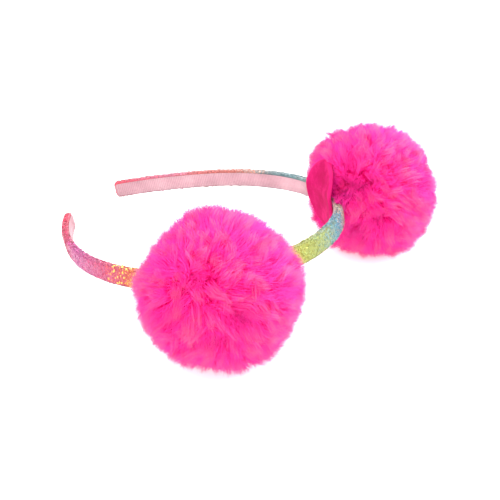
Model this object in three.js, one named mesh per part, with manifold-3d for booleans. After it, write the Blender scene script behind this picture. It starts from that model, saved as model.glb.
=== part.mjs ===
// Pompom headband: a springy horseshoe band in glitter cloth, lined with ribbon, with two fur pompoms.
// Each pompom sits on the band's outer face, and a felt disc glued across the inner face holds it there.
// The band is drawn flat, as a strip measured along its length, across its width and out of its face.
// It is then bent to a horseshoe, which lies on a floor on its two pompoms and its two tips.
// Millimetres, +Z up. The crown of the horseshoe points to +X, its far leg lies at +Y and its near leg at -Y.
import * as THREE from "three";
import { mergeVertices } from "three/addons/utils/BufferGeometryUtils.js";
import Module from "manifold-3d";

// Driving dimensions, in millimetres and degrees
const GAP = 0.3; // glue line between neighbouring pieces
const STRIP = { length: 384, step: 7.4 };
const BAND = { width: 8.8, inner: -1.2, outer: 2.2, tipRound: 2.6 };
const BAND_EDGE = { run: 1.1, drop: 0.9, footRound: 0.4 };
const LINING = { width: 7.7, inner: -2.5, outer: -1.5, foldIn: 0.9, tipRound: 2.2 };
const FELT = { radius: 16, thickness: 1.5, edgeRound: 0.4, sides: 24 };
const FELT_CURL = { start: 1, flatShare: 0.2, curledShare: 0.6 }; // start is measured from the band's edge
const HEAD = { radius: 27.8, detail: 3 };
const LOCK = { count: 60, sides: 5, swayLength: 4.5, swayScatter: 2, shortest: 0.85, longest: 1.2 };
const LYING = { tilt: 10.3, roll: 4.7 }; // the pompoms prop the crown up, the near side a little less

// The bend, from its middle outwards: tangent arcs that open towards the tips
const BEND_OFFSET = 5.8; // from the bend's middle to the strip's middle, which lies on the far side of it
const BEND_ARCS = [
  { name: "crown", length: 47.5, nearRadius: 49.5, farRadius: 49.5 },
  { name: "shoulder", length: 47.5, nearRadius: 83, farRadius: 83 },
  { name: "side", length: 47.5, nearRadius: 106, farRadius: 106 },
  { name: "leg", length: 60, nearRadius: 110, farRadius: 170 },
];

// The pompoms: where each is fixed on the strip, and its centre from there
const POMPOMS = [
  { name: "near", along: -49, out: 20.4, towardsCrown: 0.5, lift: 4.3, turn: 0 },
  { name: "far", along: 50, out: 23.3, towardsCrown: -1.6, lift: -3.7, turn: 130 },
];

// The felt behind each pompom: its centre on the strip, and how steeply it curls over the band's edges
const FELTS = {
  near: { along: -49, lift: 0, upperCurl: 0.25, lowerCurl: 0.15 },
  far: { along: 48, lift: 2.6, upperCurl: 0.45, lowerCurl: 0 },
};

// One fur lock, from its root in the head to its blunt tip
const LOCK_RINGS = [
  { name: "root", rise: -4, radius: 5.4, sway: 0 },
  { name: "belly", rise: 1.4, radius: 5.8, sway: 0.2 },
  { name: "neck", rise: 3.6, radius: 4.4, sway: 0.6 },
  { name: "tip", rise: 5, radius: 2, sway: 1 },
];

const wasm = await Module();
wasm.setup();

// Places on the bent strip

function stationAt(along) {
  const fromBend = along + BEND_OFFSET;
  const side = fromBend < 0 ? -1 : 1;
  const station = { x: 0, y: 0 };
  let left = Math.abs(fromBend);
  let turned = 0;
  for (const { length, nearRadius, farRadius } of BEND_ARCS) {
    const radius = side < 0 ? nearRadius : farRadius;
    const turn = Math.min(left, length) / radius;
    station.x += radius * (Math.cos(turned + turn) - Math.cos(turned));
    station.y += side * radius * (Math.sin(turned + turn) - Math.sin(turned));
    turned += turn;
    left = Math.max(0, left - length);
  }
  station.outward = new THREE.Vector3(Math.cos(turned), side * Math.sin(turned), 0);
  station.onward = new THREE.Vector3(-station.outward.y, station.outward.x, 0);
  return station;
}

function onBentStrip(along, across, out) {
  const { x, y, outward } = stationAt(along);
  return new THREE.Vector3(x, y, across).addScaledVector(outward, out);
}

// A closed skin through rings of points, each ring running the same way round
function loft(rings) {
  const sides = rings[0].length;
  const points = rings.flat();
  const startCentre = points.push(centreOf(rings[0])) - 1;
  const endCentre = points.push(centreOf(rings.at(-1))) - 1;
  const lastRing = (rings.length - 1) * sides;
  const faces = [];
  for (let side = 0; side < sides; side += 1) {
    const next = (side + 1) % sides;
    faces.push(startCentre, next, side, endCentre, lastRing + side, lastRing + next);
    for (let here = 0; here < lastRing; here += sides) {
      const above = here + sides;
      faces.push(here + side, here + next, above + next, here + side, above + next, above + side);
    }
  }
  return new THREE.BufferGeometry().setFromPoints(points).setIndex(faces);
}

function centreOf(points) {
  const sum = points.reduce((total, point) => total.add(point), new THREE.Vector3());
  return sum.divideScalar(points.length);
}

// Solids that can be joined and cut

function solidOf(geometry) {
  const bare = new THREE.BufferGeometry();
  bare.setAttribute("position", geometry.getAttribute("position"));
  bare.setIndex(geometry.index);
  const merged = mergeVertices(bare);
  const vertProperties = new Float32Array(merged.getAttribute("position").array);
  const triVerts = new Uint32Array(merged.index.array);
  return new wasm.Manifold(new wasm.Mesh({ numProp: 3, vertProperties, triVerts }));
}

// The main body of a cut solid, without the crumbs that the cut left
function mainBody(solid) {
  const bodies = solid.decompose();
  return bodies.reduce((largest, body) => (body.volume() > largest.volume() ? body : largest));
}

function geometryOf(solid) {
  const { vertProperties, triVerts } = solid.getMesh();
  const geometry = new THREE.BufferGeometry();
  geometry.setAttribute("position", new THREE.BufferAttribute(vertProperties, 3));
  geometry.setIndex(new THREE.BufferAttribute(triVerts, 1));
  return geometry;
}

// Stations along a strip piece: even steps, and closer ones round each tip, where the strip narrows
function stripStations(halfLength, tipRound) {
  const straight = halfLength - tipRound;
  const steps = Math.ceil((2 * straight) / STRIP.step);
  const even = Array.from({ length: steps + 1 }, (_, step) => {
    return { along: straight * ((2 * step) / steps - 1), narrowing: 0 };
  });
  const farTip = [25, 50, 75].map((degrees) => {
    const angle = THREE.MathUtils.degToRad(degrees);
    return { along: straight + tipRound * Math.sin(angle), narrowing: tipRound * (1 - Math.cos(angle)) };
  });
  const nearTip = farTip.map(({ along, narrowing }) => ({ along: -along, narrowing })).reverse();
  return [...nearTip, ...even, ...farTip];
}

// The glitter-covered band: a flat inner face, rounded edges and a slightly crowned outer face

function bandSection(halfWidth) {
  const { inner, outer } = BAND;
  const { run, drop, footRound } = BAND_EDGE;
  const shoulder = outer - drop / 6;
  const bulge = outer - drop / 4;
  const flat = halfWidth - Math.min(run, 0.7 * halfWidth);
  const shape = new THREE.Shape();
  shape.moveTo(-halfWidth + footRound, inner);
  shape.lineTo(halfWidth - footRound, inner);
  shape.lineTo(halfWidth, inner + footRound);
  shape.lineTo(halfWidth, outer - drop);
  shape.quadraticCurveTo(halfWidth, bulge, flat, shoulder);
  shape.lineTo(0, outer);
  shape.lineTo(-flat, shoulder);
  shape.quadraticCurveTo(-halfWidth, bulge, -halfWidth, outer - drop);
  shape.lineTo(-halfWidth, inner + footRound);
  const pointsPerCurve = 3;
  return shape.getPoints(pointsPerCurve);
}

function bandGeometry() {
  const rings = stripStations(STRIP.length / 2, BAND.tipRound).map(({ along, narrowing }) => {
    const section = bandSection(BAND.width / 2 - narrowing);
    return section.map(({ x, y }) => onBentStrip(along, x, y));
  });
  return loft(rings);
}

// The ribbon on the inner face, which stops a little short of both tips
function liningGeometry() {
  const { width, inner, outer, foldIn, tipRound } = LINING;
  const rings = stripStations(STRIP.length / 2 - foldIn, tipRound).map(({ along, narrowing }) => {
    const half = width / 2 - narrowing;
    return [
      onBentStrip(along, -half, inner),
      onBentStrip(along, half, inner),
      onBentStrip(along, half, outer),
      onBentStrip(along, -half, outer),
    ];
  });
  return loft(rings);
}

// A disc laid across the strip, bent with it and curled over the band's edges
function bentDisc(profile, sides, { along: station, lift, upperCurl, lowerCurl }) {
  const disc = new THREE.LatheGeometry(profile, sides).rotateX(Math.PI / 2);
  const position = disc.getAttribute("position");
  for (let i = 0; i < position.count; i += 1) {
    const across = lift + position.getY(i);
    const pastEdge = Math.max(0, Math.abs(across) - BAND.width / 2 - FELT_CURL.start);
    const curl = pastEdge * (across > 0 ? upperCurl : lowerCurl);
    const bent = onBentStrip(station + position.getX(i), across, position.getZ(i) + curl);
    position.setXYZ(i, bent.x, bent.y, bent.z);
  }
  return disc;
}

// A felt disc, glued over the lining where a pompom sits
function feltGeometry(felt) {
  const { radius, thickness, edgeRound, sides } = FELT;
  const { flatShare, curledShare } = FELT_CURL;
  const outer = LINING.inner - GAP;
  const inner = outer - thickness;
  const profile = [
    new THREE.Vector2(0, inner),
    new THREE.Vector2(radius * flatShare, inner),
    new THREE.Vector2(radius * curledShare, inner),
    new THREE.Vector2(radius - edgeRound, inner),
    new THREE.Vector2(radius, inner + edgeRound),
    new THREE.Vector2(radius, outer - edgeRound),
    new THREE.Vector2(radius - edgeRound, outer),
    new THREE.Vector2(radius * curledShare, outer),
    new THREE.Vector2(radius * flatShare, outer),
    new THREE.Vector2(0, outer),
  ];
  return bentDisc(profile, sides, felt);
}

// The room that the fur leaves for a felt disc and for all inside it
function feltRoom(felt) {
  const { flatShare, curledShare } = FELT_CURL;
  const outer = LINING.inner + GAP;
  const room = { radius: FELT.radius + 2 * GAP, outer, inner: outer - 12, sides: 16 };
  const profile = [
    new THREE.Vector2(0, room.inner),
    new THREE.Vector2(room.radius, room.inner),
    new THREE.Vector2(room.radius, room.outer),
    new THREE.Vector2(room.radius * curledShare, room.outer),
    new THREE.Vector2(room.radius * flatShare, room.outer),
    new THREE.Vector2(0, room.outer),
  ];
  return solidOf(bentDisc(profile, room.sides, felt));
}

// A repeatable scatter value from -0.5 to 0.5
function scatter(index, column) {
  const value = Math.sin(index * 127.1 + column * 311.7) * 43758.5453;
  return value - Math.floor(value) - 0.5;
}

// One lock of fur, from inside the head outwards, swept to one side at its tip
function lockGeometry(index) {
  const goldenAngle = Math.PI * (3 - Math.sqrt(5));
  const height = 1 - (2 * index + 1) / LOCK.count;
  const direction = new THREE.Vector3().setFromSphericalCoords(1, Math.acos(height), goldenAngle * index);
  const combed = new THREE.Vector3(0.5, -0.6, 0.2);
  const aside = new THREE.Vector3(scatter(index, 1), scatter(index, 2), scatter(index, 3));
  combed.addScaledVector(aside, LOCK.swayScatter);
  const sway = combed.projectOnPlane(direction).setLength(LOCK.swayLength);
  const first = new THREE.Vector3().crossVectors(direction, sway).normalize();
  const second = new THREE.Vector3().crossVectors(direction, first);
  const reach = THREE.MathUtils.lerp(LOCK.shortest, LOCK.longest, scatter(index, 4) + 0.5);
  const rings = LOCK_RINGS.map(({ rise, radius, sway: share }) => {
    const centre = direction.clone().multiplyScalar(HEAD.radius + rise * reach).addScaledVector(sway, share);
    return Array.from({ length: LOCK.sides }, (_, corner) => {
      const angle = (2 * Math.PI * corner) / LOCK.sides;
      const rim = first.clone().multiplyScalar(Math.cos(angle)).addScaledVector(second, Math.sin(angle));
      return rim.multiplyScalar(radius).add(centre);
    });
  });
  return loft(rings);
}

// Fur locks joined to a round head, with its centre at the pompom's place beside the band
function furBall({ along, out, towardsCrown, lift, turn }) {
  const { x, y, outward, onward } = stationAt(along);
  const centre = new THREE.Vector3(x, y, lift);
  centre.addScaledVector(outward, out);
  centre.addScaledVector(onward, -Math.sign(along) * towardsCrown);
  const place = new THREE.Matrix4().makeRotationZ(THREE.MathUtils.degToRad(turn)).setPosition(centre);
  const head = solidOf(new THREE.IcosahedronGeometry(HEAD.radius, HEAD.detail).applyMatrix4(place));
  const locks = Array.from({ length: LOCK.count }, (_, index) => {
    return solidOf(lockGeometry(index).applyMatrix4(place));
  });
  return locks.reduce((ball, lock) => ball.add(lock), head);
}

// What the fur leaves free: all that lies inside the horseshoe, and a slot for the band.
// The slot flares on the crown side, where the band parts the fur.
function bandClearance({ along: station }) {
  const reach = { along: 48, across: 45, inward: 24, steps: 14 };
  const flare = { start: 14, slope: 0.4 };
  const inside = [];
  const slot = [];
  for (let step = 0; step <= reach.steps; step += 1) {
    const fromStation = reach.along * ((2 * step) / reach.steps - 1);
    const along = station + fromStation;
    const towardsCrown = -Math.sign(station) * fromStation;
    const spread = GAP + flare.slope * Math.max(0, towardsCrown - flare.start);
    const half = BAND.width / 2 + spread;
    inside.push([
      onBentStrip(along, -reach.across, -reach.inward),
      onBentStrip(along, reach.across, -reach.inward),
      onBentStrip(along, reach.across, LINING.inner),
      onBentStrip(along, -reach.across, LINING.inner),
    ]);
    slot.push([
      onBentStrip(along, -half, LINING.inner - GAP),
      onBentStrip(along, half, LINING.inner - GAP),
      onBentStrip(along, half, BAND.outer + spread),
      onBentStrip(along, -half, BAND.outer + spread),
    ]);
  }
  return solidOf(loft(inside)).add(solidOf(loft(slot)));
}

// The floor, as a block to press the fur flat against, in the upright band's own frame
function floorBlock(lying) {
  const size = { width: 400, depth: 60 };
  const block = new THREE.BoxGeometry(size.width, size.width, size.depth).translate(0, 0, -size.depth / 2);
  return solidOf(block.applyMatrix4(lying.matrix.clone().invert()));
}

function pompomGeometry(pompom, floor) {
  const ball = furBall(pompom).subtract(bandClearance(pompom));
  return geometryOf(mainBody(ball.subtract(feltRoom(FELTS[pompom.name])).subtract(floor)));
}

// The finishes
const glitterCloth = new THREE.MeshStandardMaterial({ color: 0xe0838a, roughness: 0.45, metalness: 0.25 });
const pinkRibbon = new THREE.MeshStandardMaterial({ color: 0xf0afbe, roughness: 0.75, metalness: 0 });
const pinkFelt = new THREE.MeshStandardMaterial({ color: 0xe22373, roughness: 0.95, metalness: 0 });
const pinkFur = new THREE.MeshStandardMaterial({ color: 0xff3ca5, roughness: 0.9, metalness: 0 });

function piece(name, geometry, material) {
  geometry.computeVertexNormals();
  const mesh = new THREE.Mesh(geometry, material);
  mesh.name = name;
  return mesh;
}

// The headband, lying on the floor with its lowest tip at height zero
const lying = new THREE.Group();
lying.rotation.set(THREE.MathUtils.degToRad(LYING.roll), -THREE.MathUtils.degToRad(LYING.tilt), 0);
const band = piece("band", bandGeometry(), glitterCloth);
lying.add(band);
lying.position.z = -new THREE.Box3().setFromObject(lying, true).min.z;
lying.updateMatrix();

lying.add(piece("lining_ribbon", liningGeometry(), pinkRibbon));
const floor = floorBlock(lying);
for (const pompom of POMPOMS) {
  lying.add(piece(`felt_disc_${pompom.name}`, feltGeometry(FELTS[pompom.name]), pinkFelt));
  lying.add(piece(`pompom_${pompom.name}`, pompomGeometry(pompom, floor), pinkFur));
}

// The origin is on the floor, in the middle of all that lies on it
const middle = new THREE.Box3().setFromObject(lying, true).getCenter(new THREE.Vector3());
lying.position.x -= middle.x;
lying.position.y -= middle.y;

const headband = new THREE.Group();
headband.name = "pompom_headband";
headband.add(lying);

export default headband;
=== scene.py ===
import math

import bpy
import numpy as np
from mathutils import Matrix, Vector


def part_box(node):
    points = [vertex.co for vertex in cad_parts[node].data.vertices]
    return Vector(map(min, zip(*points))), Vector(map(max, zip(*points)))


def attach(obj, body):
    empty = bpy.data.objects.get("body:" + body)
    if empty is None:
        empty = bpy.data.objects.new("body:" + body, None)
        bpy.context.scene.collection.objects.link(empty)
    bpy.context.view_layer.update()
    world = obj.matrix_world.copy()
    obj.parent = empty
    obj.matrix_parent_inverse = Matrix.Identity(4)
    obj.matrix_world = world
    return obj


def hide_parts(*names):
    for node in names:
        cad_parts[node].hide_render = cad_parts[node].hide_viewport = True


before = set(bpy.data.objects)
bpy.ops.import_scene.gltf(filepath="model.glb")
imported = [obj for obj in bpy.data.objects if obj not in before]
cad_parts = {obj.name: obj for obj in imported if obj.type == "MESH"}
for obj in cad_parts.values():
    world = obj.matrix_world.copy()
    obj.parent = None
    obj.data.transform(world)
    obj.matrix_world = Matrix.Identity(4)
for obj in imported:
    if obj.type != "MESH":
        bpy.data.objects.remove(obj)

scene = bpy.context.scene
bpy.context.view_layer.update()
mm = 0.001
print("frame loaded with", ", ".join(sorted(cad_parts)))


# camera

photoView = {
    "imageSide": 500,  # pixels
    "azimuth": 42.4,  # degrees from -Y towards +X
    "elevation": 28.9,
    "distance": 392 * mm,
    "focalLength": 821,  # in image pixels
    "aim": Vector((16.22, 0.0, 2.85)) * mm,
    "lensAxisAt": (240.5, 264.7),  # the pixel that the lens axis meets
    "sensorWidth": 36,  # millimetres, as Blender counts it
    "clipStart": 10 * mm,
    "clipEnd": 20,  # metres
}


def makeCamera(view):
    turn = math.radians(view["azimuth"])
    rise = math.radians(view["elevation"])
    back = Vector((math.sin(turn) * math.cos(rise), -math.cos(turn) * math.cos(rise), math.sin(rise)))
    lens = bpy.data.cameras.new("photoCamera")
    lens.sensor_width = view["sensorWidth"]
    lens.lens = view["focalLength"] * view["sensorWidth"] / view["imageSide"]
    lens.shift_x = 0.5 - view["lensAxisAt"][0] / view["imageSide"]
    lens.shift_y = view["lensAxisAt"][1] / view["imageSide"] - 0.5
    lens.clip_start = view["clipStart"]
    lens.clip_end = view["clipEnd"]
    camera = bpy.data.objects.new("photoCamera", lens)
    camera.location = view["aim"] + back * view["distance"]
    camera.rotation_euler = back.to_track_quat("Z", "Y").to_euler()
    scene.collection.objects.link(camera)
    scene.camera = camera


makeCamera(photoView)
print("camera placed")


# small helpers for meshes and node trees

def newPiece(name, points, faces, material=None):
    mesh = bpy.data.meshes.new(name)
    mesh.from_pydata(np.asarray(points).tolist(), [], faces)
    mesh.update()
    piece = bpy.data.objects.new(name, mesh)
    scene.collection.objects.link(piece)
    if material:
        mesh.materials.append(material)
    return piece


def smooth(piece):
    piece.data.polygons.foreach_set("use_smooth", [True] * len(piece.data.polygons))
    piece.data.update()


def pointData(piece, name, values):
    layer = piece.data.attributes.new(name, "FLOAT", "POINT")
    layer.data.foreach_set("value", np.asarray(values, np.float32).ravel())


def readPoints(mesh):
    flat = np.empty(len(mesh.vertices) * 3, np.float32)
    mesh.vertices.foreach_get("co", flat)
    return flat.reshape(-1, 3).astype(float)


def writePoints(mesh, points):
    mesh.vertices.foreach_set("co", np.asarray(points, np.float32).ravel())
    mesh.update()


def addNode(tree, kind, inputs=None, **settings):
    node = tree.nodes.new(kind)
    for name, value in settings.items():
        setattr(node, name, value)
    for key, value in (inputs or {}).items():
        if isinstance(value, bpy.types.NodeSocket):
            tree.links.new(value, node.inputs[key])
        else:
            node.inputs[key].default_value = value
    return node


def vectorMath(tree, operation, *values):
    node = addNode(tree, "ShaderNodeVectorMath", operation=operation)
    for place, value in enumerate(values):
        socket = node.inputs["Scale"] if operation == "SCALE" and place == 1 else node.inputs[place]
        if isinstance(value, bpy.types.NodeSocket):
            tree.links.new(value, socket)
        else:
            socket.default_value = value
    return node.outputs["Value" if operation == "DOT_PRODUCT" else "Vector"]


def numberMath(tree, operation, *values):
    node = addNode(tree, "ShaderNodeMath", dict(enumerate(values)), operation=operation)
    return node.outputs[0]


# A random value for each point, or one for each owner
def randomValue(tree, kind, seed, owner):
    node = addNode(tree, "FunctionNodeRandomValue", {"Seed": seed}, data_type=kind)
    if owner:
        tree.links.new(owner, node.inputs["ID"])
    return node


# From 0 to 1
def randomNumber(tree, seed, owner=None):
    return randomValue(tree, "FLOAT", seed, owner).outputs[1]


# From -1 to 1 on each axis
def randomWay(tree, seed, owner=None):
    node = randomValue(tree, "FLOAT_VECTOR", seed, owner)
    node.inputs[0].default_value = (-1, -1, -1)
    return node.outputs[0]


def scatter(tree, mesh, density, seed):
    inputs = {"Mesh": mesh, "Density": density, "Seed": seed}
    return addNode(tree, "GeometryNodeDistributePointsOnFaces", inputs, distribute_method="RANDOM").outputs


def storeOnPoints(tree, geometry, name, value, kind="FLOAT"):
    inputs = {"Geometry": geometry, "Name": name, "Value": value}
    node = addNode(tree, "GeometryNodeStoreNamedAttribute", inputs, data_type=kind, domain="POINT")
    return node.outputs["Geometry"]


def readNamed(tree, name, kind="FLOAT"):
    node = addNode(tree, "GeometryNodeInputNamedAttribute", {"Name": name}, data_type=kind)
    return node.outputs["Attribute"]


# Carries a number from one span to another and holds it at the ends
def mapRange(tree, value, fromSpan=(0.0, 1.0), toSpan=(0.0, 1.0)):
    node = addNode(tree, "ShaderNodeMapRange", {
        "Value": value,
        "From Min": fromSpan[0], "From Max": fromSpan[1],
        "To Min": toSpan[0], "To Max": toSpan[1],
    })
    return node.outputs["Result"]


socketKinds = {float: "NodeSocketFloat", int: "NodeSocketInt", tuple: "NodeSocketVector"}


# A tree with a mesh coming in, a mesh going out and one named input for each size
def newGeometryTree(name, sizes):
    tree = bpy.data.node_groups.new(name, "GeometryNodeTree")
    tree.interface.new_socket("Geometry", in_out="INPUT", socket_type="NodeSocketGeometry")
    tree.interface.new_socket("Geometry", in_out="OUTPUT", socket_type="NodeSocketGeometry")
    for title, value in sizes.items():
        tree.interface.new_socket(title, in_out="INPUT", socket_type=socketKinds[type(value)])
    return tree, addNode(tree, "NodeGroupInput").outputs


def finishTree(tree, geometry, material):
    whole = addNode(tree, "GeometryNodeRealizeInstances", {"Geometry": geometry}).outputs["Geometry"]
    soft = addNode(tree, "GeometryNodeSetShadeSmooth", {"Geometry": whole}).outputs["Geometry"]
    painted = addNode(tree, "GeometryNodeSetMaterial", {"Geometry": soft, "Material": material})
    addNode(tree, "NodeGroupOutput", {"Geometry": painted.outputs["Geometry"]})


# Runs a tree on a mesh and keeps the outcome as a plain mesh
def growMesh(piece, tree, sizes):
    modifier = piece.modifiers.new(tree.name, "NODES")
    modifier.node_group = tree
    for item in tree.interface.items_tree:
        if item.in_out == "INPUT" and item.name in sizes:
            modifier[item.identifier] = sizes[item.name]
    bpy.context.view_layer.update()
    shown = piece.evaluated_get(bpy.context.evaluated_depsgraph_get())
    grown = bpy.data.meshes.new_from_object(shown)
    piece.modifiers.remove(modifier)
    seedMesh = piece.data
    piece.data = grown
    grown.name = piece.name
    bpy.data.meshes.remove(seedMesh)
    print(piece.name, "has", sum(len(p.vertices) - 2 for p in grown.polygons), "triangles")
    return piece


# From the 0 to 255 of a screen to linear light
def colour(red, green, blue):
    def linear(level):
        share = level / 255
        return share / 12.92 if share <= 0.04045 else ((share + 0.055) / 1.055) ** 2.4
    return linear(red), linear(green), linear(blue), 1


def newMaterial(name, **constants):
    material = bpy.data.materials.new(name)
    material.use_nodes = True
    shader = material.node_tree.nodes["Principled BSDF"]
    for title, value in constants.items():
        shader.inputs[title.replace("_", " ")].default_value = value
    return material, material.node_tree, shader


def surfaceData(tree, name):
    return addNode(tree, "ShaderNodeAttribute", attribute_name=name).outputs["Fac"]


def noise(tree, scale, detail, distortion=0.0):
    spot = addNode(tree, "ShaderNodeTexCoord").outputs["Object"]
    node = addNode(tree, "ShaderNodeTexNoise", {
        "Vector": spot, "Scale": scale, "Detail": detail, "Distortion": distortion,
    })
    return node.outputs["Fac"]


def mixColours(tree, share, first, second, blend="MIX"):
    inputs = {"Factor": share, "A": first, "B": second}
    return addNode(tree, "ShaderNodeMix", inputs, data_type="RGBA", blend_type=blend).outputs["Result"]


# All the places are set before the shades, because a moved stop can change its turn
def colourRamp(tree, factor, stops):
    node = addNode(tree, "ShaderNodeValToRGB", {"Fac": factor})
    ramp = node.color_ramp
    while len(ramp.elements) < len(stops):
        ramp.elements.new(0.5)
    inOrder = sorted(stops)
    for element, stop in zip(ramp.elements, inOrder):
        element.position = stop[0]
    for element, stop in zip(ramp.elements, inOrder):
        element.color = stop[1]
    return node.outputs["Color"]


def addRelief(tree, shader, height, strength, depth):
    relief = addNode(tree, "ShaderNodeBump", {"Height": height, "Strength": strength, "Distance": depth})
    tree.links.new(relief.outputs["Normal"], shader.inputs["Normal"])


# the bent strip that the band, lining and felt all follow

bend = {
    "offset": 5.8 * mm,  # from the bend's middle to the strip's middle
    "arcs": [
        {"name": "crown", "length": 47.5 * mm, "near": 49.5 * mm, "far": 49.5 * mm},
        {"name": "shoulder", "length": 47.5 * mm, "near": 83 * mm, "far": 83 * mm},
        {"name": "side", "length": 47.5 * mm, "near": 106 * mm, "far": 106 * mm},
        {"name": "leg", "length": 60 * mm, "near": 110 * mm, "far": 170 * mm},
    ],
    "tilt": math.radians(10.3),
    "roll": math.radians(4.7),
    "length": 384 * mm,
}
lyingTurn = np.array(Matrix.Rotation(bend["roll"], 3, "X") @ Matrix.Rotation(-bend["tilt"], 3, "Y"))


# Where a place along the strip lies in the flat horseshoe, and which way its outer face looks
def stations(along):
    fromBend = np.asarray(along, float) + bend["offset"]
    near = fromBend < 0
    left = np.abs(fromBend)
    x = np.zeros_like(left)
    y = np.zeros_like(left)
    turned = np.zeros_like(left)
    for arc in bend["arcs"]:
        radius = np.where(near, arc["near"], arc["far"])
        run = np.minimum(left, arc["length"])
        turn = run / radius
        x += radius * (np.cos(turned + turn) - np.cos(turned))
        y += radius * (np.sin(turned + turn) - np.sin(turned))
        turned += turn
        left = left - run
    side = np.where(near, -1, 1)
    return np.stack([x, side * y], -1), np.stack([np.cos(turned), side * np.sin(turned)], -1)


def bentPoints(along, across, out):
    along, across, out = np.broadcast_arrays(along, across, out)
    middle, outward = stations(along)
    flat = middle + outward * out[..., None]
    return np.concatenate([flat, across[..., None]], -1) @ lyingTurn.T


# glitter band

band = {
    "halfWidth": 4.4 * mm,
    "inner": -1.2 * mm,
    "outer": 2.2 * mm,
    "edgeRun": 1.2 * mm,
    "edgeDrop": 1.0 * mm,
    "footRound": 0.4 * mm,
    "tipRound": 2.3 * mm,
    "tipThinning": 0.4,
    "ringStep": 1.5 * mm,
    "tipRings": 8,
    "footSteps": 4,
    "edgeSteps": 7,
    "swell": 0.06 * mm,  # how much fuller the outer face is in its middle
    "glitterMargin": 0.3 * mm,  # of the inner face, along each edge
    "glitterLift": 0.05 * mm,  # anything further out than this has glitter
}

# The rainbow of the cloth, from the near tip to the far tip, in places from the strip's middle
rainbow = [
    {"name": "cherry", "at": -188 * mm, "shade": colour(198, 47, 78)},
    {"name": "raspberry", "at": -150 * mm, "shade": colour(172, 42, 82)},
    {"name": "lilac", "at": -134 * mm, "shade": colour(170, 74, 134)},
    {"name": "hot pink", "at": -102 * mm, "shade": colour(180, 64, 97)},
    {"name": "coral", "at": -92 * mm, "shade": colour(182, 78, 61)},
    {"name": "orange", "at": -80 * mm, "shade": colour(200, 110, 50)},
    {"name": "amber", "at": -62 * mm, "shade": colour(226, 150, 56)},
    {"name": "gold", "at": -42 * mm, "shade": colour(204, 166, 60)},
    {"name": "lime", "at": -18 * mm, "shade": colour(149, 153, 62)},
    {"name": "sage", "at": -4 * mm, "shade": colour(135, 147, 78)},
    {"name": "sea green", "at": 5 * mm, "shade": colour(110, 138, 128)},
    {"name": "blue", "at": 16 * mm, "shade": colour(63, 129, 155)},
    {"name": "cream", "at": 24 * mm, "shade": colour(172, 149, 131)},
    {"name": "mint", "at": 48 * mm, "shade": colour(158, 170, 154)},
    {"name": "teal", "at": 82 * mm, "shade": colour(80, 116, 122)},
    {"name": "grey teal", "at": 102 * mm, "shade": colour(108, 118, 120)},
    {"name": "peach", "at": 109 * mm, "shade": colour(178, 146, 136)},
    {"name": "salmon", "at": 118 * mm, "shade": colour(174, 99, 87)},
    {"name": "rose", "at": 146 * mm, "shade": colour(188, 102, 103)},
    {"name": "mallow", "at": 158 * mm, "shade": colour(186, 112, 134)},
    {"name": "cherry", "at": 192 * mm, "shade": colour(200, 70, 88)},
]


# Rings along a strip, closer together round its tips
def ringPlaces(length, strip):
    straight = length / 2 - strip["tipRound"]
    turn = np.linspace(0, math.pi / 2, strip["tipRings"], endpoint=False)
    tip = straight + strip["tipRound"] * np.cos(turn)
    body = np.linspace(-straight, straight, int(2 * straight / strip["ringStep"]))
    return np.concatenate([-tip, body, tip[::-1]])


# 0 at a strip's end, 1 where the rounding of its tip starts
def fromTip(along, length, strip):
    return np.clip((length / 2 - np.abs(along)) / strip["tipRound"], 0, 1)


# How much of a strip's width is left near its rounded tips
def widthLeft(along, length, strip):
    loss = strip["tipRound"] * (1 - np.sqrt(1 - (1 - fromTip(along, length, strip)) ** 2))
    return (strip["halfWidth"] - loss) / strip["halfWidth"]


# Closes rings of points into one skin with a cap at each end
def loftRings(name, rings, material):
    ringCount, sides = rings.shape[:2]
    faces = []
    for ring in range(ringCount - 1):
        for side in range(sides):
            after = (side + 1) % sides
            start = ring * sides
            faces.append((start + side, start + after, start + sides + after, start + sides + side))
    faces.append(tuple(reversed(range(sides))))
    faces.append(tuple(range((ringCount - 1) * sides, ringCount * sides)))
    return newPiece(name, rings.reshape(-1, 3), faces, material)


# Half of the section, from the inner face's middle round the edge to the outer face's middle
def bandSection(shape):
    foot = np.linspace(0, math.pi / 2, shape["footSteps"])
    edge = np.linspace(0, math.pi / 2, shape["edgeSteps"])
    half = shape["halfWidth"]
    across = [0, (half - shape["footRound"]) / 2]
    out = [shape["inner"], shape["inner"]]
    across.extend(half - shape["footRound"] * (1 - np.sin(foot)))
    out.extend(shape["inner"] + shape["footRound"] * (1 - np.cos(foot)))
    across.extend(half - shape["edgeRun"] * (1 - np.cos(edge)))
    out.extend(shape["outer"] - shape["edgeDrop"] * (1 - np.sin(edge)))
    across.append((half - shape["edgeRun"]) / 2)
    out.append(shape["outer"] + shape["swell"] * 2 / 3)
    across.append(0)
    out.append(shape["outer"] + shape["swell"])
    return np.array(across), np.array(out)


def bandRings():
    across, out = bandSection(band)
    across = np.concatenate([across, -across[-2:0:-1]])
    out = np.concatenate([out, out[-2:0:-1]])
    along = ringPlaces(bend["length"], band)
    widthShare = widthLeft(along, bend["length"], band)
    blunt = (1 - fromTip(along, bend["length"], band)) ** 4
    thickShare = 1 - (1 - np.sqrt(1 - blunt)) * band["tipThinning"]
    middle = (band["inner"] + band["outer"]) / 2
    thinned = middle + (out - middle) * thickShare[:, None]
    return along, across, out, bentPoints(along[:, None], across * widthShare[:, None], thinned)


# The CAD band fixes where the bent strip lies
def strapPlace(rings):
    low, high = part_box("band")
    points = rings.reshape(-1, 3)
    return (np.array(low) + np.array(high)) / 2 - (points.min(0) + points.max(0)) / 2


along, across, out, bandSkin = bandRings()
lyingPlace = strapPlace(bandSkin)
print("strip placed at", np.round(lyingPlace / mm, 2))


def onStrip(along, across, out):
    return bentPoints(along, across, out) + lyingPlace


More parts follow.
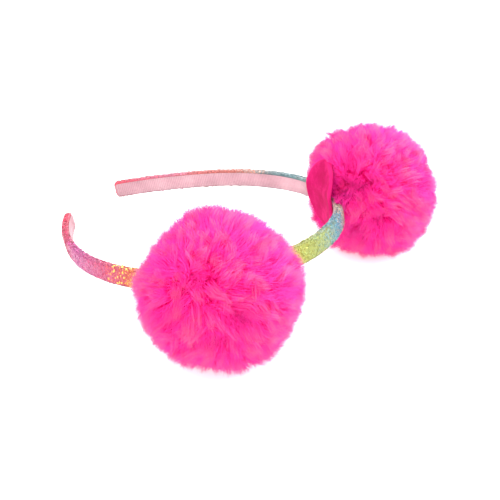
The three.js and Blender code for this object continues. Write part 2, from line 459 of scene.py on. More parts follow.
def makeBand(material):
    piece = loftRings("glitter_band", bandSkin + lyingPlace, material)
    pointData(piece, "along", np.repeat(along, len(across)))
    pointData(piece, "across", np.tile(across, len(along)))
    onEdge = np.abs(across) > band["halfWidth"] - band["glitterMargin"]
    shown = (out > band["inner"] + band["glitterLift"]) | onEdge
    pointData(piece, "glitterShare", np.tile(shown.astype(float), len(along)))
    smooth(piece)
    return piece


# Most flakes are alike and a few are dark; a few are painted lighter than white as painted highlights. The
# rounded edges have more dark flakes, as painted shade, and brighter ones, as painted sparkle
glitterLevelsAndHighlights = [
    (0.0, (0.7, 0.68, 0.7, 1)), (0.03, (0.82, 0.8, 0.82, 1)), (0.08, (0.92, 0.92, 0.93, 1)),
    (0.55, (0.95, 0.95, 0.95, 1)), (0.92, (1.06, 1.06, 1.04, 1)), (0.97, (1.5, 1.45, 1.2, 1)),
]
edgeShadeAndSparkle = [
    (0.0, (0.12, 0.12, 0.14, 1)), (0.12, (0.3, 0.3, 0.32, 1)), (0.18, (0.76, 0.76, 0.78, 1)),
    (0.7, (0.92, 0.92, 0.92, 1)), (0.84, (1.1, 1.1, 1.1, 1)), (0.92, (1.6, 1.7, 1.7, 1)),
]
glitterEdge = {"from": 3.9 * mm, "to": 4.4 * mm}
shadedLowerEdge = {"from": -3.6 * mm, "to": -4.1 * mm, "tone": (0.4, 0.46, 0.48, 1)}  # painted shade along the band's lower edge, darker than the rest
goldPatch = {"middle": -92 * mm, "reach": 15 * mm, "share": 0.17, "colour": colour(240, 180, 84)}
glitterWander = 0.02  # how far a flake's colour may stray, as a share of the strip's length
clothGrain = {"scale": 1900, "relief": 0.6, "depth": 0.25 * mm, "roughness": (0.25, 0.6)}
flakeRoughness = (0.38, 0.14)  # the lightest flakes are the smoothest


# The rainbow that both the cloth and its flakes take; a part's own number makes it lighter or darker
def glitterColour(tree, chance):
    along = surfaceData(tree, "along")
    across = surfaceData(tree, "across")
    reach = bend["length"] / 2
    wander = numberMath(tree, "MULTIPLY_ADD", chance, 2 * glitterWander, -glitterWander)
    place = numberMath(tree, "ADD", mapRange(tree, along, (-reach, reach)), wander)
    hue = colourRamp(tree, place, [(0.5 + part["at"] / bend["length"], part["shade"]) for part in rainbow])

    # Gold sparkles gather beside the near pompom
    fromPatch = numberMath(tree, "ABSOLUTE", numberMath(tree, "SUBTRACT", along, goldPatch["middle"]))
    inPatch = mapRange(tree, fromPatch, (goldPatch["reach"], 0.0), (0.0, goldPatch["share"]))
    golden = numberMath(tree, "GREATER_THAN", numberMath(tree, "ADD", chance, inPatch), 1.0)
    gilded = mixColours(tree, golden, hue, goldPatch["colour"])

    # Painted shade and painted sparkle along the rounded edges
    edge = mapRange(tree, numberMath(tree, "ABSOLUTE", across), (glitterEdge["from"], glitterEdge["to"]))
    faceLevel = colourRamp(tree, chance, glitterLevelsAndHighlights)
    edgeLevel = colourRamp(tree, chance, edgeShadeAndSparkle)
    toned = mixColours(tree, 1.0, gilded, mixColours(tree, edge, faceLevel, edgeLevel), "MULTIPLY")
    # Painted shade along the band's lower edge
    low = mapRange(tree, across, (shadedLowerEdge["from"], shadedLowerEdge["to"]))
    return mixColours(tree, low, toned, shadedLowerEdge["tone"], "MULTIPLY")


def glitterClothFinish():
    material, tree, shader = newMaterial("rainbowGlitterCloth", Metallic=0.25)
    spot = addNode(tree, "ShaderNodeTexCoord").outputs["Object"]
    grain = addNode(tree, "ShaderNodeTexVoronoi", {"Vector": spot, "Scale": clothGrain["scale"]})
    chance = addNode(tree, "ShaderNodeSeparateColor", {"Color": grain.outputs["Color"]}).outputs["Red"]
    tree.links.new(glitterColour(tree, chance), shader.inputs["Base Color"])
    tree.links.new(mapRange(tree, chance, toSpan=clothGrain["roughness"]), shader.inputs["Roughness"])
    addRelief(tree, shader, chance, clothGrain["relief"], clothGrain["depth"])
    return material


def glitterFlakeFinish():
    material, tree, shader = newMaterial("rainbowGlitterFlake", Metallic=0.3)
    chance = surfaceData(tree, "flakeChance")
    tree.links.new(glitterColour(tree, chance), shader.inputs["Base Color"])
    tree.links.new(mapRange(tree, chance, toSpan=flakeRoughness), shader.inputs["Roughness"])
    return material


glitterFlakes = {
    "Flakes Per Area": 1.1e6,  # a square metre
    "Flake Radius": 0.72 * mm,
    "Flake Thickness": 0.08 * mm,
    "Flake Corners": 6,
    "Smallest": 0.5,
    "Tilt": (0.22, 0.22, 3.1),  # radians either way
    "Seed": 7,
}


def flakeTree(sizes, material):
    tree, given = newGeometryTree("glitterFlakes", sizes)
    density = numberMath(tree, "MULTIPLY", given["Flakes Per Area"], readNamed(tree, "glitterShare"))
    spots = scatter(tree, given["Geometry"], density, given["Seed"])
    chance = randomNumber(tree, given["Seed"])
    points = storeOnPoints(tree, spots["Points"], "flakeChance", chance)
    plate = addNode(tree, "GeometryNodeMeshCylinder", {
        "Vertices": given["Flake Corners"], "Side Segments": 1, "Fill Segments": 1,
        "Radius": given["Flake Radius"], "Depth": given["Flake Thickness"],
    }, fill_type="NGON")
    laterSeed = numberMath(tree, "ADD", given["Seed"], 1.0)
    tip = vectorMath(tree, "MULTIPLY", randomWay(tree, laterSeed), given["Tilt"])
    turned = addNode(tree, "FunctionNodeRotateRotation", {
        "Rotation": spots["Rotation"], "Rotate By": tip,
    }, rotation_space="LOCAL")
    flakes = addNode(tree, "GeometryNodeInstanceOnPoints", {
        "Points": points, "Instance": plate.outputs["Mesh"], "Rotation": turned.outputs["Rotation"],
        "Scale": mapRange(tree, chance, toSpan=(given["Smallest"], 1.0)),
    })
    finishTree(tree, flakes.outputs["Instances"], material)
    return tree


glitterBand = makeBand(glitterClothFinish())
flakes = bpy.data.objects.new("glitter_flakes", glitterBand.data.copy())
scene.collection.objects.link(flakes)
growMesh(flakes, flakeTree(glitterFlakes, glitterFlakeFinish()), glitterFlakes)
print("glitter band made")


# lining ribbon

lining = {
    "halfWidth": 3.55 * mm,
    "lower": 0.25 * mm,  # the cloth wraps further over the band's upper edge
    "inner": -1.66 * mm,
    "outer": -1.26 * mm,
    "foldIn": 0.7 * mm,  # from the band's end to the ribbon's
    "tipRound": 1.6 * mm,
    "ringStep": 3 * mm,
    "tipRings": 6,
    "edgeRound": 0.12 * mm,
    "ribSink": 0.06 * mm,  # from the ribbon's face to the middle of its ribs
}
liningLength = bend["length"] - 2 * lining["foldIn"]


def makeLining(material):
    half = lining["halfWidth"]
    soft = lining["edgeRound"]
    inset = half - soft
    across = np.array([-inset, 0, inset, half, half, inset, 0, -inset, -half, -half])
    low = lining["inner"]
    high = lining["outer"]
    out = np.array([low, low, low, low + soft, high - soft, high, high, high, high - soft, low + soft])
    along = ringPlaces(liningLength, lining)
    narrowed = across * widthLeft(along, liningLength, lining)[:, None]
    rings = onStrip(along[:, None], narrowed - lining["lower"], out)
    piece = loftRings("lining_ribbon_base", rings, material)
    smooth(piece)
    return piece


ribbonBlotchScale = 90
ribbonThread = {"scale": 2600, "share": 0.5, "relief": 0.35, "depth": 0.1 * mm}


def ribbonFinish(name, stops):
    material, tree, shader = newMaterial(name, Roughness=0.55, Sheen_Weight=0.3, Sheen_Roughness=0.4)
    blotch = noise(tree, ribbonBlotchScale, 3)
    thread = noise(tree, ribbonThread["scale"], 2)
    mixed = numberMath(tree, "MULTIPLY_ADD", thread, ribbonThread["share"], blotch)
    tree.links.new(colourRamp(tree, mixed, stops), shader.inputs["Base Color"])
    addRelief(tree, shader, thread, ribbonThread["relief"], ribbonThread["depth"])
    return material


ribbonRibs = {
    "Rib Pitch": 1.05 * mm,
    "Rib Length": 7 * mm,
    "Rib Radius": 0.24 * mm,
    "Rib Breadth": 1.35,  # along the ribbon, in radii
    "Rib Sides": 8,
}


# One rib across the ribbon at each point; a point knows the way along and the way out
def ribTree(sizes, material):
    tree, given = newGeometryTree("ribbonRibs", sizes)
    rod = addNode(tree, "GeometryNodeMeshCylinder", {
        "Vertices": given["Rib Sides"], "Side Segments": 1, "Fill Segments": 1,
        "Radius": given["Rib Radius"], "Depth": given["Rib Length"],
    }, fill_type="NGON")
    turn = addNode(tree, "FunctionNodeAxesToRotation", {
        "Primary Axis": readNamed(tree, "ribAcross", "FLOAT_VECTOR"),
        "Secondary Axis": readNamed(tree, "ribOut", "FLOAT_VECTOR"),
    }, primary_axis="Z", secondary_axis="X")
    size = addNode(tree, "ShaderNodeCombineXYZ", {
        "X": 1.0, "Y": given["Rib Breadth"], "Z": readNamed(tree, "ribShare"),
    })
    ribs = addNode(tree, "GeometryNodeInstanceOnPoints", {
        "Points": given["Geometry"], "Instance": rod.outputs["Mesh"],
        "Rotation": turn.outputs["Rotation"], "Scale": size.outputs["Vector"],
    })
    finishTree(tree, ribs.outputs["Instances"], material)
    return tree


def makeRibs(material):
    count = int(liningLength / ribbonRibs["Rib Pitch"]) - 1
    along = (np.arange(count) - (count - 1) / 2) * ribbonRibs["Rib Pitch"]
    spots = onStrip(along, -lining["lower"], lining["inner"] + lining["ribSink"])
    piece = newPiece("lining_ribs", spots, [])
    outward = np.concatenate([stations(along)[1], np.zeros((count, 1))], 1) @ lyingTurn.T
    across = np.tile(lyingTurn[:, 2], (count, 1))
    for name, values in (("ribOut", outward), ("ribAcross", across)):
        layer = piece.data.attributes.new(name, "FLOAT_VECTOR", "POINT")
        layer.data.foreach_set("vector", values.astype(np.float32).ravel())
    pointData(piece, "ribShare", widthLeft(along, liningLength, lining))
    return growMesh(piece, ribTree(ribbonRibs, material), ribbonRibs)


# The ribbon between the ribs is painted darker than the ribs, as painted shade in the grooves
shadedGrooveColours = [(0.45, colour(154, 113, 121)), (0.75, colour(170, 127, 136)), (1.0, colour(184, 143, 151))]
ribShades = [(0.45, colour(169, 128, 136)), (0.75, colour(185, 142, 151)), (1.0, colour(199, 158, 166))]
liningRibbon = makeLining(ribbonFinish("palePinkRibbonShadedGrooves", shadedGrooveColours))
liningRibs = makeRibs(ribbonFinish("palePinkRibs", ribShades))
print("lining ribbon made")


# pompoms and the felt behind them

# A rise, or a dip if its height is below zero: which way it lies, its reach in degrees and its height in mm
def bump(name, way, reach, height):
    return {"name": name, "way": way, "reach": reach, "height": height * mm}


pompomPlaces = {
    "near": {
        "along": -49 * mm, "out": 20.4 * mm, "towardsCrown": 0.5 * mm, "lift": 4.3 * mm, "seed": 11,
        "flareFrom": 15.5 * mm,  # past here towards the crown, the fur parts wider round the band
        "whorl": (0.12, -0.66, 0.74),  # the way that the fur is combed away from
        "bumps": [
            bump("left slope", (-0.78, -0.31, 0.54), 22, -2.6),
            bump("left notch", (-0.74, -0.2, 0.64), 7, -1.4),
            bump("tuft above the notch", (-0.63, 0, 0.77), 9, 1.4),
            bump("top", (-0.39, 0.3, 0.87), 12, -1.4),
            bump("right slope", (0.2, 0.7, 0.68), 20, -2),
            bump("right side", (0.5, 0.77, 0.4), 16, -2),
            bump("low right side", (0.76, 0.24, -0.61), 12, -1.8),
            bump("low right tuft", (0.54, -0.13, -0.83), 10, 1.2),
            bump("underside", (0.3, -0.38, -0.88), 30, -3.2),
            bump("low left side", (-0.45, -0.76, -0.46), 16, -1.7),
        ],
        "folds": [
            bump("below the whorl", (0.32, -0.72, 0.61), 7, -2.2),
            bump("right", (0.85, -0.5, 0.17), 8, -3),
            bump("low", (0.7, -0.7, -0.13), 8, -2.6),
            bump("left", (0.04, -1, 0.07), 7, -2),
        ],
    },
    "far": {
        "along": 50 * mm, "out": 22.8 * mm, "towardsCrown": -1.6 * mm, "lift": -3.7 * mm, "seed": 29,
        "flareFrom": 24 * mm,
        "whorl": (-0.1, -0.6, 0.8),
        "bumps": [
            bump("tuft over the felt", (-0.79, -0.3, 0.53), 20, 1.6),
            bump("behind the felt", (-0.78, -0.61, 0.14), 15, -3.5),
            bump("upper left tuft", (-0.65, -0.03, 0.76), 13, 1.2),
            bump("upper left wisp", (-0.72, -0.16, 0.67), 6, 1.8),
            bump("top", (-0.39, 0.3, 0.87), 12, -1.3),
            bump("upper right side", (0.36, 0.75, 0.56), 30, -1),
            bump("outer side", (0.66, 0.73, 0.18), 35, -1.4),
            bump("low outer tuft", (0.73, 0.17, -0.67), 22, 1.2),
            bump("low tuft", (0.61, -0.04, -0.79), 12, 1.1),
            bump("over the band", (0.13, -0.96, 0.24), 9, 10),
            bump("underside", (0.12, -0.52, -0.85), 14, -2),
            bump("below the felt", (-0.48, -0.76, -0.44), 14, -3),
        ],
        "folds": [
            bump("gap at the felt", (0.05, -0.93, 0.36), 10, -7.5),
            bump("from the gap", (0.31, -0.84, 0.45), 8, -4.2),
            bump("towards the right", (0.47, -0.71, 0.52), 7, -2.6),
            bump("upper", (0.06, -0.71, 0.7), 9, -3),
            bump("low", (0.66, -0.75, -0.04), 8, -3),
            bump("lowest", (0.36, -0.88, -0.3), 10, -3),
        ],
    },
}
feltPlaces = {
    "near": {"along": -49 * mm, "lift": 0, "upperCurl": 0.25, "lowerCurl": 0.15, "seed": 3},
    "far": {"along": 48 * mm, "lift": 2.6 * mm, "upperCurl": 0.45, "lowerCurl": 0, "seed": 5},
}

feltDisc = {
    "radius": 16 * mm,
    "inner": -4.1 * mm,
    "outer": -2.3 * mm,
    "curlStart": 1 * mm,  # past the band's edge
    "curlEase": 2 * mm,
    "edgeRound": 0.55 * mm,
    "sides": 96,
    "rings": 14,
    "rimSteps": 7,
    "firstRing": 0.06,  # as a share of the radius; a cap closes it
    "edgeWander": 0.22 * mm,
    "edgeWaves": (3, 5, 11, 17),  # round the rim
    "ripple": 0.12 * mm,
    "rippleWaves": 3,
    "rippleFrom": 0.5,
}


# How far the felt leans out to the fur above and below the band
def feltCurl(across, place):
    pastEdge = np.clip(np.abs(across) - band["halfWidth"] - feltDisc["curlStart"], 0, None)
    soft = pastEdge ** 2 / (pastEdge + feltDisc["curlEase"])
    return soft * np.where(across > 0, place["upperCurl"], place["lowerCurl"])


# A round of felt bent with the strip: inner face, rounded rim, outer face
def makeFelt(name, place, material):
    rng = np.random.default_rng(place["seed"])
    soft = feltDisc["edgeRound"]
    radius = feltDisc["radius"]
    faceRings = np.linspace(feltDisc["firstRing"], 1, feltDisc["rings"]) * (radius - soft)
    rim = np.linspace(-math.pi / 2, math.pi / 2, feltDisc["rimSteps"])[1:-1]
    middle = (feltDisc["inner"] + feltDisc["outer"]) / 2
    halfThick = (feltDisc["outer"] - feltDisc["inner"]) / 2
    reach = np.concatenate([faceRings, radius - soft + soft * np.cos(rim), faceRings[::-1]])
    depth = np.concatenate([
        np.full(len(faceRings), feltDisc["inner"]),
        middle + halfThick * np.sin(rim),
        np.full(len(faceRings), feltDisc["outer"]),
    ])
    turn = np.linspace(0, 2 * math.pi, feltDisc["sides"], endpoint=False)
    waves = feltDisc["edgeWaves"]
    phase = rng.uniform(0, 2 * math.pi, len(waves))
    wander = sum(np.sin(turn * count + shift) for count, shift in zip(waves, phase)) / len(waves)
    share = (reach / radius)[:, None]
    reachAll = reach[:, None] + feltDisc["edgeWander"] * wander * share ** 4
    ripple = feltDisc["ripple"] * np.sin(turn * feltDisc["rippleWaves"] + phase[0]) * share ** 2
    outerRipple = ripple * (share > feltDisc["rippleFrom"])
    along = place["along"] + reachAll * np.cos(turn)
    across = place["lift"] + reachAll * np.sin(turn)
    rings = onStrip(along, across, depth[:, None] + outerRipple + feltCurl(across, place))
    piece = loftRings(name, rings, material)
    pointData(piece, "rimShare", np.repeat(reach / radius, len(turn)))
    smooth(piece)
    return piece


feltFibre = {"scale": 1500, "distortion": 1.2, "share": 0.5, "relief": 0.5, "depth": 0.2 * mm}
feltCloudScale = 160
feltRim = {"from": 0.9, "lift": 0.25}  # a little lighter than the face
feltShades = [(0.5, colour(158, 2, 70)), (0.78, colour(174, 8, 84)), (1.0, colour(198, 30, 104))]


def feltFinish():
    material, tree, shader = newMaterial("crimsonPinkFelt", Roughness=0.9, Specular_IOR_Level=0.08)
    fibre = noise(tree, feltFibre["scale"], 5, feltFibre["distortion"])
    cloud = noise(tree, feltCloudScale, 3)
    rimLift = mapRange(tree, surfaceData(tree, "rimShare"), (feltRim["from"], 1.0), (0.0, feltRim["lift"]))
    both = numberMath(tree, "MULTIPLY_ADD", fibre, feltFibre["share"], cloud)
    lifted = numberMath(tree, "ADD", both, rimLift)
    tree.links.new(colourRamp(tree, lifted, feltShades), shader.inputs["Base Color"])
    addRelief(tree, shader, fibre, feltFibre["relief"], feltFibre["depth"])
    return material


pompomCore = {
    "radius": 26.3 * mm,
    "detail": 4,
    "flatAt": 2.6 * mm,  # the glued side, out from the strip
    "bareCone": math.radians(30),  # no fur grows towards the felt inside it
    "fill": 0.8,
    "lumpShare": 0.05,  # of the radius
    "lumpWaves": 220,  # higher is finer
    "lumpCount": 6,
}


def pompomCentre(place):
    middle, outward = stations(place["along"])
    onward = np.array([-outward[1], outward[0]])
    spot = middle + outward * place["out"] - np.sign(place["along"]) * place["towardsCrown"] * onward
    return np.array([spot[0], spot[1], place["lift"]]) @ lyingTurn.T + lyingPlace


pompomLumps = {
    "height": 2.4 * mm,
    "waves": 9.0,
    "count": 8,
    "furReach": 34 * mm,  # where the strands end, from the pompom's centre
    "foldShadeFullDepth": 5 * mm,  # where the painted shade in a fold's fur is as dark as it gets
}


phaseSpan = 6  # radians, nearly a whole turn


# The mean of a few waves, each running its own way through the points
def meanWave(points, rng, waves, count):
    turns = rng.normal(0, waves, (3, count))
    return np.sin(points @ turns + rng.uniform(0, phaseSpan, count)).mean(1)


def heightOf(bumps, ways):
    height = np.zeros(len(ways))
    for rise in bumps:
        facing = np.clip(ways @ np.array(Vector(rise["way"]).normalized()), -1, 1)
        height += rise["height"] * np.exp(-(np.arccos(facing) / math.radians(rise["reach"])) ** 2)
    return height


# Pushes a round ball out and in: fine lumps all over it, then the pompom's own bumps and folds
def lumpyBall(piece, points, place):
    ways = points / np.linalg.norm(points, axis=1)[:, None]
    rng = np.random.default_rng(place["seed"] + 1)
    lumps = pompomLumps["height"] * meanWave(ways, rng, pompomLumps["waves"], pompomLumps["count"])
    folds = heightOf(place["folds"], ways)
    # The fold depth drives painted shade in the fur's colour and glow
    pointData(piece, "foldDepth", np.clip(-folds / pompomLumps["foldShadeFullDepth"], 0, 1))
    height = lumps + heightOf(place["bumps"], ways) + folds
    return points * (1 + height / pompomLumps["furReach"])[:, None]


def outwardAt(along):
    facing = stations(along)[1]
    return np.array([facing[0], facing[1], 0]) @ lyingTurn.T


stripSearch = {"reach": 65 * mm, "step": 0.5 * mm, "batch": 20000}


# Where points lie on the strip near a pompom: along, across and out, with the way out
def stripPlaces(points, place):
    flat = (points - lyingPlace) @ lyingTurn
    reach = stripSearch["reach"]
    along = np.arange(place["along"] - reach, place["along"] + reach, stripSearch["step"])
    middle, outward = stations(along)
    nearest = np.empty(len(flat), int)
    batch = stripSearch["batch"]
    for start in range(0, len(flat), batch):
        part = flat[start:start + batch, :2]
        nearest[start:start + batch] = ((part[:, None] - middle) ** 2).sum(-1).argmin(1)
    out = ((flat[:, :2] - middle[nearest]) * outward[nearest]).sum(-1)
    wayOut = np.concatenate([outward[nearest], np.zeros((len(flat), 1))], 1) @ lyingTurn.T
    return along[nearest], flat[:, 2], out, wayOut


furClearance = {
    "floor": 0.1 * mm,
    "sideGap": 0.35 * mm,  # beside the band's edges
    "topGap": 0.35 * mm,  # over its outer face
    "flareSlope": 0.45,
    "feltGap": 0.25 * mm,
    "rimCurl": 1.0,  # how far fur may lean in past the felt's rim
    "deepestCurl": 7 * mm,
    "leastReach": 0.1 * mm,  # so that nothing is divided by zero at the felt's centre
}


# Moves fur out of the band, the felt and the floor
def clearOfBand(points, place, felt):
    along, across, out, wayOut = stripPlaces(points, place)
    fromCentre = np.hypot(along - felt["along"], across - felt["lift"])
    rimShare = np.minimum(1, feltDisc["radius"] / np.maximum(fromCentre, furClearance["leastReach"]))
    backOfFelt = feltDisc["outer"] + feltCurl(felt["lift"] + (across - felt["lift"]) * rimShare, felt)
    pastRim = fromCentre - feltDisc["radius"]
    curl = np.clip(pastRim * furClearance["rimCurl"], 0, furClearance["deepestCurl"])
    lowest = backOfFelt + furClearance["feltGap"] - curl
    towardsCrown = np.sign(place["along"]) * (place["along"] - along)
    flare = np.clip(towardsCrown - place["flareFrom"], 0, None) * furClearance["flareSlope"]
    slotHalf = band["halfWidth"] + furClearance["sideGap"] + flare
    hump = np.clip(1 - (across / slotHalf) ** 2, 0, 1)
    ceiling = band["outer"] + furClearance["topGap"] + flare * hump
    inSlot = np.abs(across) < slotHalf
    limit = np.where(inSlot, np.maximum(lowest, ceiling), lowest)
    moved = points + wayOut * np.clip(limit - out, 0, None)[:, None]
    moved[:, 2] = np.maximum(moved[:, 2], furClearance["floor"])
    return moved


def ballMesh(name, radius, detail):
    bpy.ops.mesh.primitive_ico_sphere_add(subdivisions=detail, radius=radius, location=(0, 0, 0))
    piece = bpy.context.object
    piece.name = name
    piece.data.name = name
    return piece


def makeCore(name, place, material):
    piece = ballMesh(name, pompomCore["radius"], pompomCore["detail"])
    piece.data.materials.append(material)
    points = readPoints(piece.data)
    rng = np.random.default_rng(place["seed"])
    lump = pompomCore["lumpShare"] * meanWave(points, rng, pompomCore["lumpWaves"], pompomCore["lumpCount"])
    points = lumpyBall(piece, points * (1 + lump)[:, None], place) + pompomCentre(place)
    out, wayOut = stripPlaces(points, place)[2:]
    points += wayOut * np.clip(pompomCore["flatAt"] - out, 0, None)[:, None]
    writePoints(piece.data, points)
    smooth(piece)
    return piece


# The emission colour is a painted glow for the fur and its core, which are no lamps
glossAndPaintedGlow = {"Roughness": 0.55, "Specular_IOR_Level": 0.35, "Emission_Color": colour(255, 14, 148)}
furTone = {
    "lockWeight": 0.6,  # a lock's number against a strand's
    "darkest": 0.9,
    "rootPower": 4.0,  # higher keeps the glow nearer the root
    "paintedFoldShade": 0.85,
}


# Strands are deep pink at the root and lighter to the tip; in a fold they are painted darker, towards the
# root shade, as painted shade
# The glow is painted light, standing for light that has come through the fur; it is strongest at the root
def furFinish(name, shades, rootGlow, tipGlow):
    material, tree, shader = newMaterial(name, **glossAndPaintedGlow)
    reach = surfaceData(tree, "strandReach")
    fold = surfaceData(tree, "foldDepth")
    # Painted shade: fur in a fold takes the darker root shade
    shown = numberMath(tree, "SUBTRACT", 1.0, fold)
    shade = colourRamp(tree, numberMath(tree, "MULTIPLY", reach, shown), shades)
    weight = furTone["lockWeight"]
    chance = surfaceData(tree, "strandChance")
    chance = numberMath(tree, "MULTIPLY_ADD", surfaceData(tree, "lockChance"), weight, chance)
    level = mapRange(tree, chance, (0.0, 1 + weight), (furTone["darkest"], 1.0))
    toned = addNode(tree, "ShaderNodeHueSaturation", {"Color": shade, "Value": level})
    tree.links.new(toned.outputs["Color"], shader.inputs["Base Color"])
    rootShare = numberMath(tree, "POWER", numberMath(tree, "SUBTRACT", 1.0, reach), furTone["rootPower"])
    glow = numberMath(tree, "MULTIPLY_ADD", rootShare, rootGlow - tipGlow, tipGlow)
    # Painted shade: a fold dims the glow
    foldShadeFactor = numberMath(tree, "MULTIPLY_ADD", fold, -furTone["paintedFoldShade"], 1.0)
    tree.links.new(numberMath(tree, "MULTIPLY", glow, foldShadeFactor), shader.inputs["Emission Strength"])
    return material


overFur = {
    "Strands Per Area": 2.35e6,
    "Strand Length": 8.3 * mm,
    "Shortest": 0.6,
    "Strand Radius": 0.27 * mm,
    "Strand Segments": 2,
    "Locks Per Area": 0.075e6,
    "Lock Pull": 0.5,
    "Lock Sway": 8.6 * mm,
    "Sway Pattern": 45.0,
    "Sway Chance": (0.9, 0.9, 0.9),
    "Strand Stray": 0.9 * mm,
    "Comb": (0.0, 0.0, 0.0),
    "Seed": 1,
}
underFur = dict(overFur)
underFur.update({
    "Strands Per Area": 5.4e6,
    "Strand Length": 6.6 * mm,
    "Strand Radius": 0.25 * mm,
    "Strand Segments": 1,
    "Lock Pull": 0.0,
    "Lock Sway": 3.7 * mm,
    "Strand Stray": 1.9 * mm,
    "Seed": 5,
})
combStrength = 0.4
furGrowth = {
    "corners": 3,
    "swing": 4.0,  # how strongly the pattern turns the locks
    "swayEase": 0.2,  # evens out strong and weak sways
    "ownLength": 0.6,  # a strand's number, in its length
    "lockLength": 0.4,  # its lock's number
    "bendPower": 1.7,  # higher bends nearer the tip
}


# Fur on a ball at the origin: straight strands whose tips are pulled together into swaying locks
def furTree(sizes, material):
    tree, given = newGeometryTree("pompomFur", sizes)
    seeds = [given["Seed"]]
    for step in range(1, 6):
        seeds.append(numberMath(tree, "ADD", given["Seed"], float(step)))
    density = numberMath(tree, "MULTIPLY", given["Strands Per Area"], readNamed(tree, "furShare"))
    roots = scatter(tree, given["Geometry"], density, seeds[0])["Points"]
    lockPoints = scatter(tree, given["Geometry"], given["Locks Per Area"], seeds[1])["Points"]
    position = addNode(tree, "GeometryNodeInputPosition").outputs["Position"]
    nearest = addNode(tree, "GeometryNodeSampleNearest", {"Geometry": lockPoints}).outputs["Index"]
    lockRoot = addNode(tree, "GeometryNodeSampleIndex", {
        "Geometry": lockPoints, "Value": position, "Index": nearest,
    }, data_type="FLOAT_VECTOR").outputs["Value"]
    rootWay = vectorMath(tree, "NORMALIZE", position)
    lockWay = vectorMath(tree, "NORMALIZE", lockRoot)

    # Each lock sways one way along the surface, with its neighbours swaying much the same way
    pattern = addNode(tree, "ShaderNodeTexNoise", {
        "Vector": lockRoot, "Scale": given["Sway Pattern"], "Detail": 1.0,
    })
    swing = vectorMath(tree, "SUBTRACT", pattern.outputs["Color"], (0.5, 0.5, 0.5))
    swing = vectorMath(tree, "SCALE", swing, furGrowth["swing"])
    lockOwn = vectorMath(tree, "MULTIPLY", randomWay(tree, seeds[2], nearest), given["Sway Chance"])
    swing = vectorMath(tree, "ADD", vectorMath(tree, "ADD", swing, lockOwn), given["Comb"])
    outPart = vectorMath(tree, "SCALE", lockWay, vectorMath(tree, "DOT_PRODUCT", swing, lockWay))
    lying = vectorMath(tree, "SUBTRACT", swing, outPart)
    strength = numberMath(tree, "SQRT", vectorMath(tree, "DOT_PRODUCT", lying, lying))
    eased = numberMath(tree, "ADD", strength, furGrowth["swayEase"])
    sway = vectorMath(tree, "SCALE", lying, numberMath(tree, "DIVIDE", given["Lock Sway"], eased))

    chance = randomNumber(tree, seeds[3])
    lockChance = randomNumber(tree, seeds[4], nearest)
    lockPart = numberMath(tree, "MULTIPLY", lockChance, furGrowth["lockLength"])
    eitherChance = numberMath(tree, "MULTIPLY_ADD", chance, furGrowth["ownLength"], lockPart)
    lengthShare = mapRange(tree, eitherChance, toSpan=(given["Shortest"], 1.0))
    length = numberMath(tree, "MULTIPLY", given["Strand Length"], lengthShare)

    straightTip = vectorMath(tree, "ADD", position, vectorMath(tree, "SCALE", rootWay, length))
    stray = vectorMath(tree, "SCALE", randomWay(tree, seeds[5]), given["Strand Stray"])
    lockTip = vectorMath(tree, "ADD", lockRoot, vectorMath(tree, "SCALE", lockWay, length))
    pull = vectorMath(tree, "SCALE", vectorMath(tree, "SUBTRACT", lockTip, straightTip), given["Lock Pull"])
    tipShift = vectorMath(tree, "ADD", vectorMath(tree, "ADD", pull, sway), stray)

    points = storeOnPoints(tree, roots, "strandChance", chance)
    points = storeOnPoints(tree, points, "lockChance", lockChance)
    points = storeOnPoints(tree, points, "tipShift", tipShift, "FLOAT_VECTOR")
    points = storeOnPoints(tree, points, "strandLength", length)

    spike = addNode(tree, "GeometryNodeMeshCone", {
        "Vertices": furGrowth["corners"], "Side Segments": given["Strand Segments"], "Fill Segments": 1,
        "Radius Top": 0.0, "Radius Bottom": given["Strand Radius"], "Depth": 1.0,
    }, fill_type="NGON")
    height = addNode(tree, "ShaderNodeSeparateXYZ", {"Vector": position}).outputs["Z"]
    strand = storeOnPoints(tree, spike.outputs["Mesh"], "strandReach", height)
    aligned = addNode(tree, "FunctionNodeAlignRotationToVector", {"Vector": rootWay}, axis="Z")
    size = addNode(tree, "ShaderNodeCombineXYZ", {"X": 1.0, "Y": 1.0, "Z": readNamed(tree, "strandLength")})
    strands = addNode(tree, "GeometryNodeInstanceOnPoints", {
        "Points": points, "Instance": strand,
        "Rotation": aligned.outputs["Rotation"], "Scale": size.outputs["Vector"],
    })
    whole = addNode(tree, "GeometryNodeRealizeInstances", {"Geometry": strands.outputs["Instances"]})
    bent = numberMath(tree, "POWER", readNamed(tree, "strandReach"), furGrowth["bendPower"])
    lean = vectorMath(tree, "SCALE", readNamed(tree, "tipShift", "FLOAT_VECTOR"), bent)
    fur = addNode(tree, "GeometryNodeSetPosition", {"Geometry": whole.outputs["Geometry"], "Offset": lean})
    finishTree(tree, fur.outputs["Geometry"], material)
    return tree


def growFur(name, place, felt, tree, sizes):
    piece = ballMesh(name, pompomCore["radius"], pompomCore["detail"])
    ways = readPoints(piece.data) / pompomCore["radius"]
    facing = -ways @ outwardAt(place["along"])
    pointData(piece, "furShare", (facing < math.cos(pompomCore["bareCone"])).astype(float))
    own = dict(sizes)
    own["Seed"] = sizes["Seed"] + place["seed"]
    own["Comb"] = tuple(-combStrength * part for part in place["whorl"])
    growMesh(piece, tree, own)
    points = lumpyBall(piece, readPoints(piece.data), place) + pompomCentre(place)
    writePoints(piece.data, clearOfBand(points, place, felt))
    return piece


tipShades = [
    (0.0, colour(240, 10, 130)), (0.2, colour(245, 27, 151)), (0.45, colour(246, 43, 155)),
    (0.75, colour(247, 67, 152)), (1.0, colour(248, 117, 163)),
]
rootShades = [
    (0.0, colour(238, 8, 128)), (0.2, colour(243, 26, 152)),
    (0.6, colour(245, 40, 158)), (1.0, colour(246, 60, 162)),
]
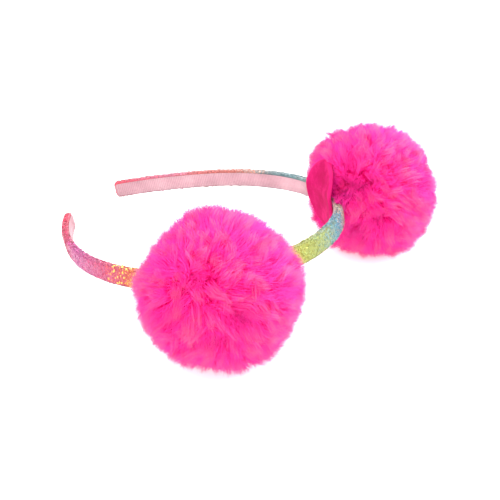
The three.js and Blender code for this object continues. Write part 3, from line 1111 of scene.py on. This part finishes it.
# Painted light: the underfur and the core glow more than the outer fur
overMaterial = furFinish("hotPinkFur", tipShades, rootGlow=0.2, tipGlow=0.08)
underMaterial = furFinish("deepPinkUnderfur", rootShades, rootGlow=0.4, tipGlow=0.26)
overTree = furTree(overFur, overMaterial)
underTree = furTree(underFur, underMaterial)
feltMaterial = feltFinish()

pompomPieces = {}
for side, place in pompomPlaces.items():
    felt = feltPlaces[side]
    pompomPieces[side] = {
        "felt": makeFelt(f"felt_disc_{side}_cloth", felt, feltMaterial),
        "core": makeCore(f"pompom_{side}_core", place, underMaterial),
        "over": growFur(f"pompom_{side}_fur", place, felt, overTree, overFur),
        "under": growFur(f"pompom_{side}_underfur", place, felt, underTree, underFur),
    }
    print("pompom made:", side)


# studio

studio = {
    "worldStrength": 1.15,
    "floorSize": 6.0,
    "floorShade": 0.8,
    "floorGlow": 0.56,  # a light table
    "key": {"place": (0.3, -0.5, 0.75), "size": 0.8, "power": 7},
    "right": {"place": (0.6, 0.75, 0.5), "size": 0.7, "power": 11},
    "left": {"place": (-0.75, -0.5, 0.45), "size": 0.7, "power": 3},
    "back": {"place": (-0.6, 0.72, 0.5), "size": 0.8, "power": 6.5},
}


def makeFloor():
    half = studio["floorSize"] / 2
    corners = [(-half, -half, 0), (half, -half, 0), (half, half, 0), (-half, half, 0)]
    level = studio["floorShade"]
    material = newMaterial(
        "paleFloor", Roughness=0.9, Base_Color=(level, level, level, 1),
        Emission_Color=(1, 1, 1, 1), Emission_Strength=studio["floorGlow"],
    )[0]
    floor = newPiece("studio_floor", corners, [(0, 1, 2, 3)], material)


def makeLight(name, lamp):
    data = bpy.data.lights.new(name, "AREA")
    data.energy = lamp["power"]
    data.size = lamp["size"]
    light = bpy.data.objects.new(name, data)
    light.location = lamp["place"]
    light.rotation_euler = Vector(lamp["place"]).to_track_quat("Z", "Y").to_euler()
    scene.collection.objects.link(light)


def makeWorld():
    world = bpy.data.worlds.new("whiteStudio")
    world.use_nodes = True
    sky = world.node_tree.nodes["Background"]
    sky.inputs["Color"].default_value = (1, 1, 1, 1)
    sky.inputs["Strength"].default_value = studio["worldStrength"]
    scene.world = world


makeFloor()
makeWorld()
for lamp in ("key", "right", "left", "back"):
    makeLight(lamp + "Light", studio[lamp])
scene.view_settings.view_transform = "Standard"
print("studio lit")


# what each piece stands for

for piece in (glitterBand, flakes):
    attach(piece, "root")
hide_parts("band")

for piece in (liningRibbon, liningRibs):
    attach(piece, "root")
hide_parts("lining_ribbon")

for side, made in pompomPieces.items():
    for role, piece in made.items():
        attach(piece, "root")
    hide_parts(f"felt_disc_{side}")
    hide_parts(f"pompom_{side}")
